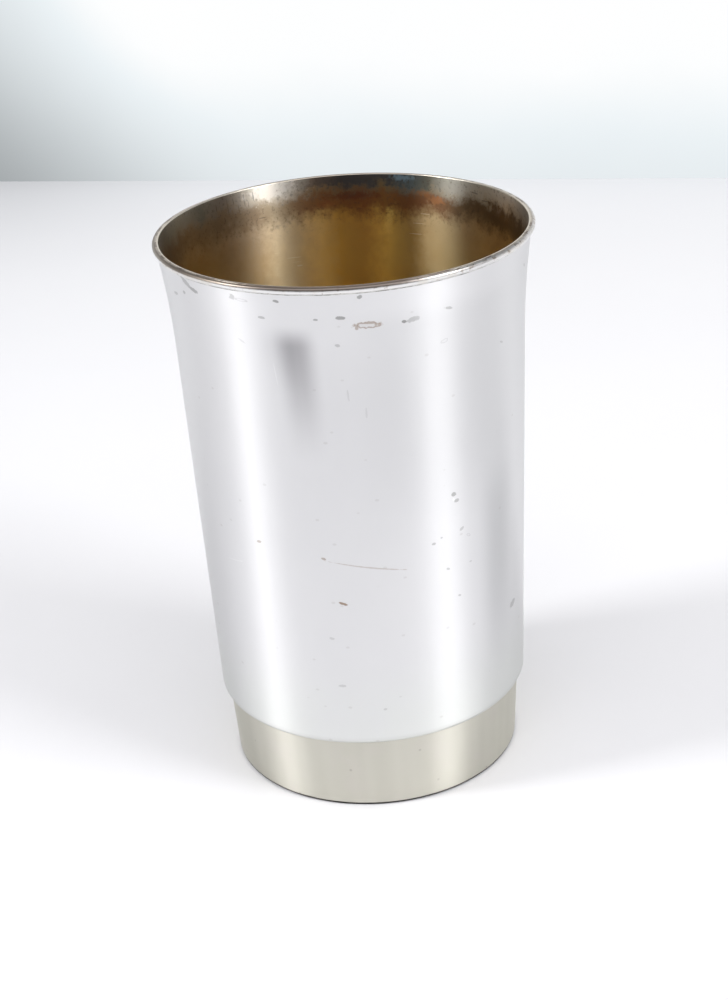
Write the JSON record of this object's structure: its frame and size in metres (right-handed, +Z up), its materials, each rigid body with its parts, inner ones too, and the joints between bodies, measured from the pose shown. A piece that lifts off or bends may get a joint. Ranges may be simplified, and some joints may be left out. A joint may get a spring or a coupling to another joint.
{
  "type": "shot cup",
  "caption": "Small footed spirit beaker: a thin tapered metal cup with a flared, wire-edged lip, soldered to a set-in foot ring.",
  "frame": {"origin": "centre of the foot's resting plane", "axes": "+Z up the axis of the cup, from foot to mouth; the cup is round, so +X and +Y are free"},
  "size_m": [0.0424, 0.0424, 0.065],
  "materials": {
    "silver_body": "polished silver with fine turning lines and small wear marks, tarnished brown and golden inside",
    "lip_wire": "polished silver, slightly dulled by tarnish",
    "foot_metal": "satin nickel silver, warmer than the body",
    "solder": "dull silver solder"
  },
  "bodies": {
    "root": {"cup_body": "silver_body", "mouth_wire": "lip_wire", "lip_solder": "solder", "foot_ring": "foot_metal", "foot_solder": "solder"}
  },
  "joints": []
}
